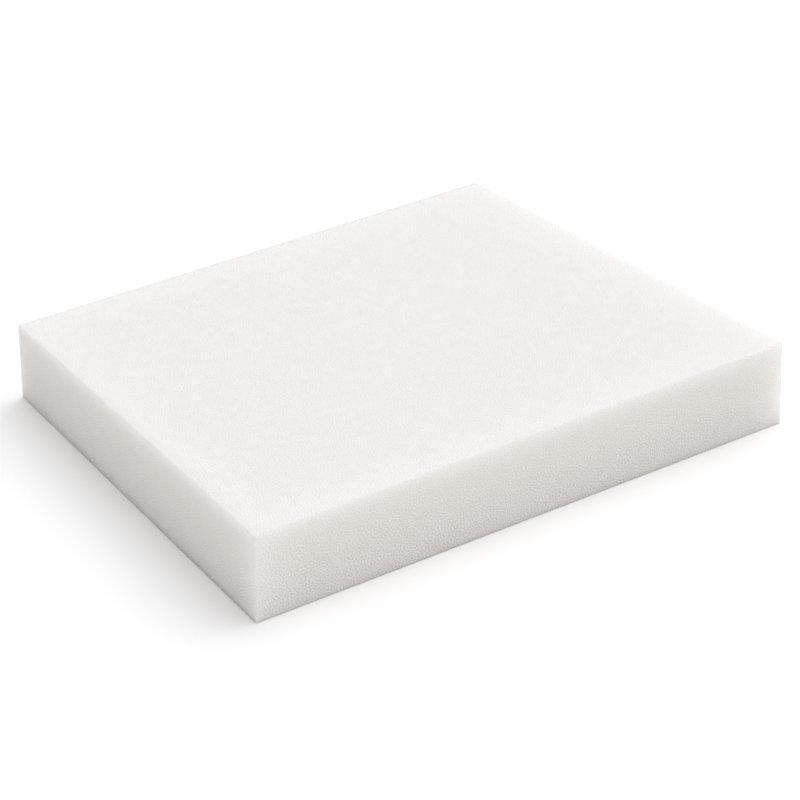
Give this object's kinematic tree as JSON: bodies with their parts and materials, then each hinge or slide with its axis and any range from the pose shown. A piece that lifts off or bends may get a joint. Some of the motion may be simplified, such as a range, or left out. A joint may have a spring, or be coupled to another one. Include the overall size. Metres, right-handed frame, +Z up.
{
  "type": "foam sheet",
  "caption": "Flat rectangular block of fine-celled white foam with plain cut faces and square corners, for padding, packing or resting work on.",
  "frame": {"origin": "middle of the underside, the flat face that the sheet lies on", "axes": "+X along the sheet's length, +Y across its width, +Z up through its thickness"},
  "size_m": [0.33, 0.3, 0.05],
  "materials": {
    "foam": "fine open-celled polyurethane foam, cut, matte and slightly translucent"
  },
  "bodies": {
    "root": {"foam_sheet": "foam"}
  },
  "joints": []
}
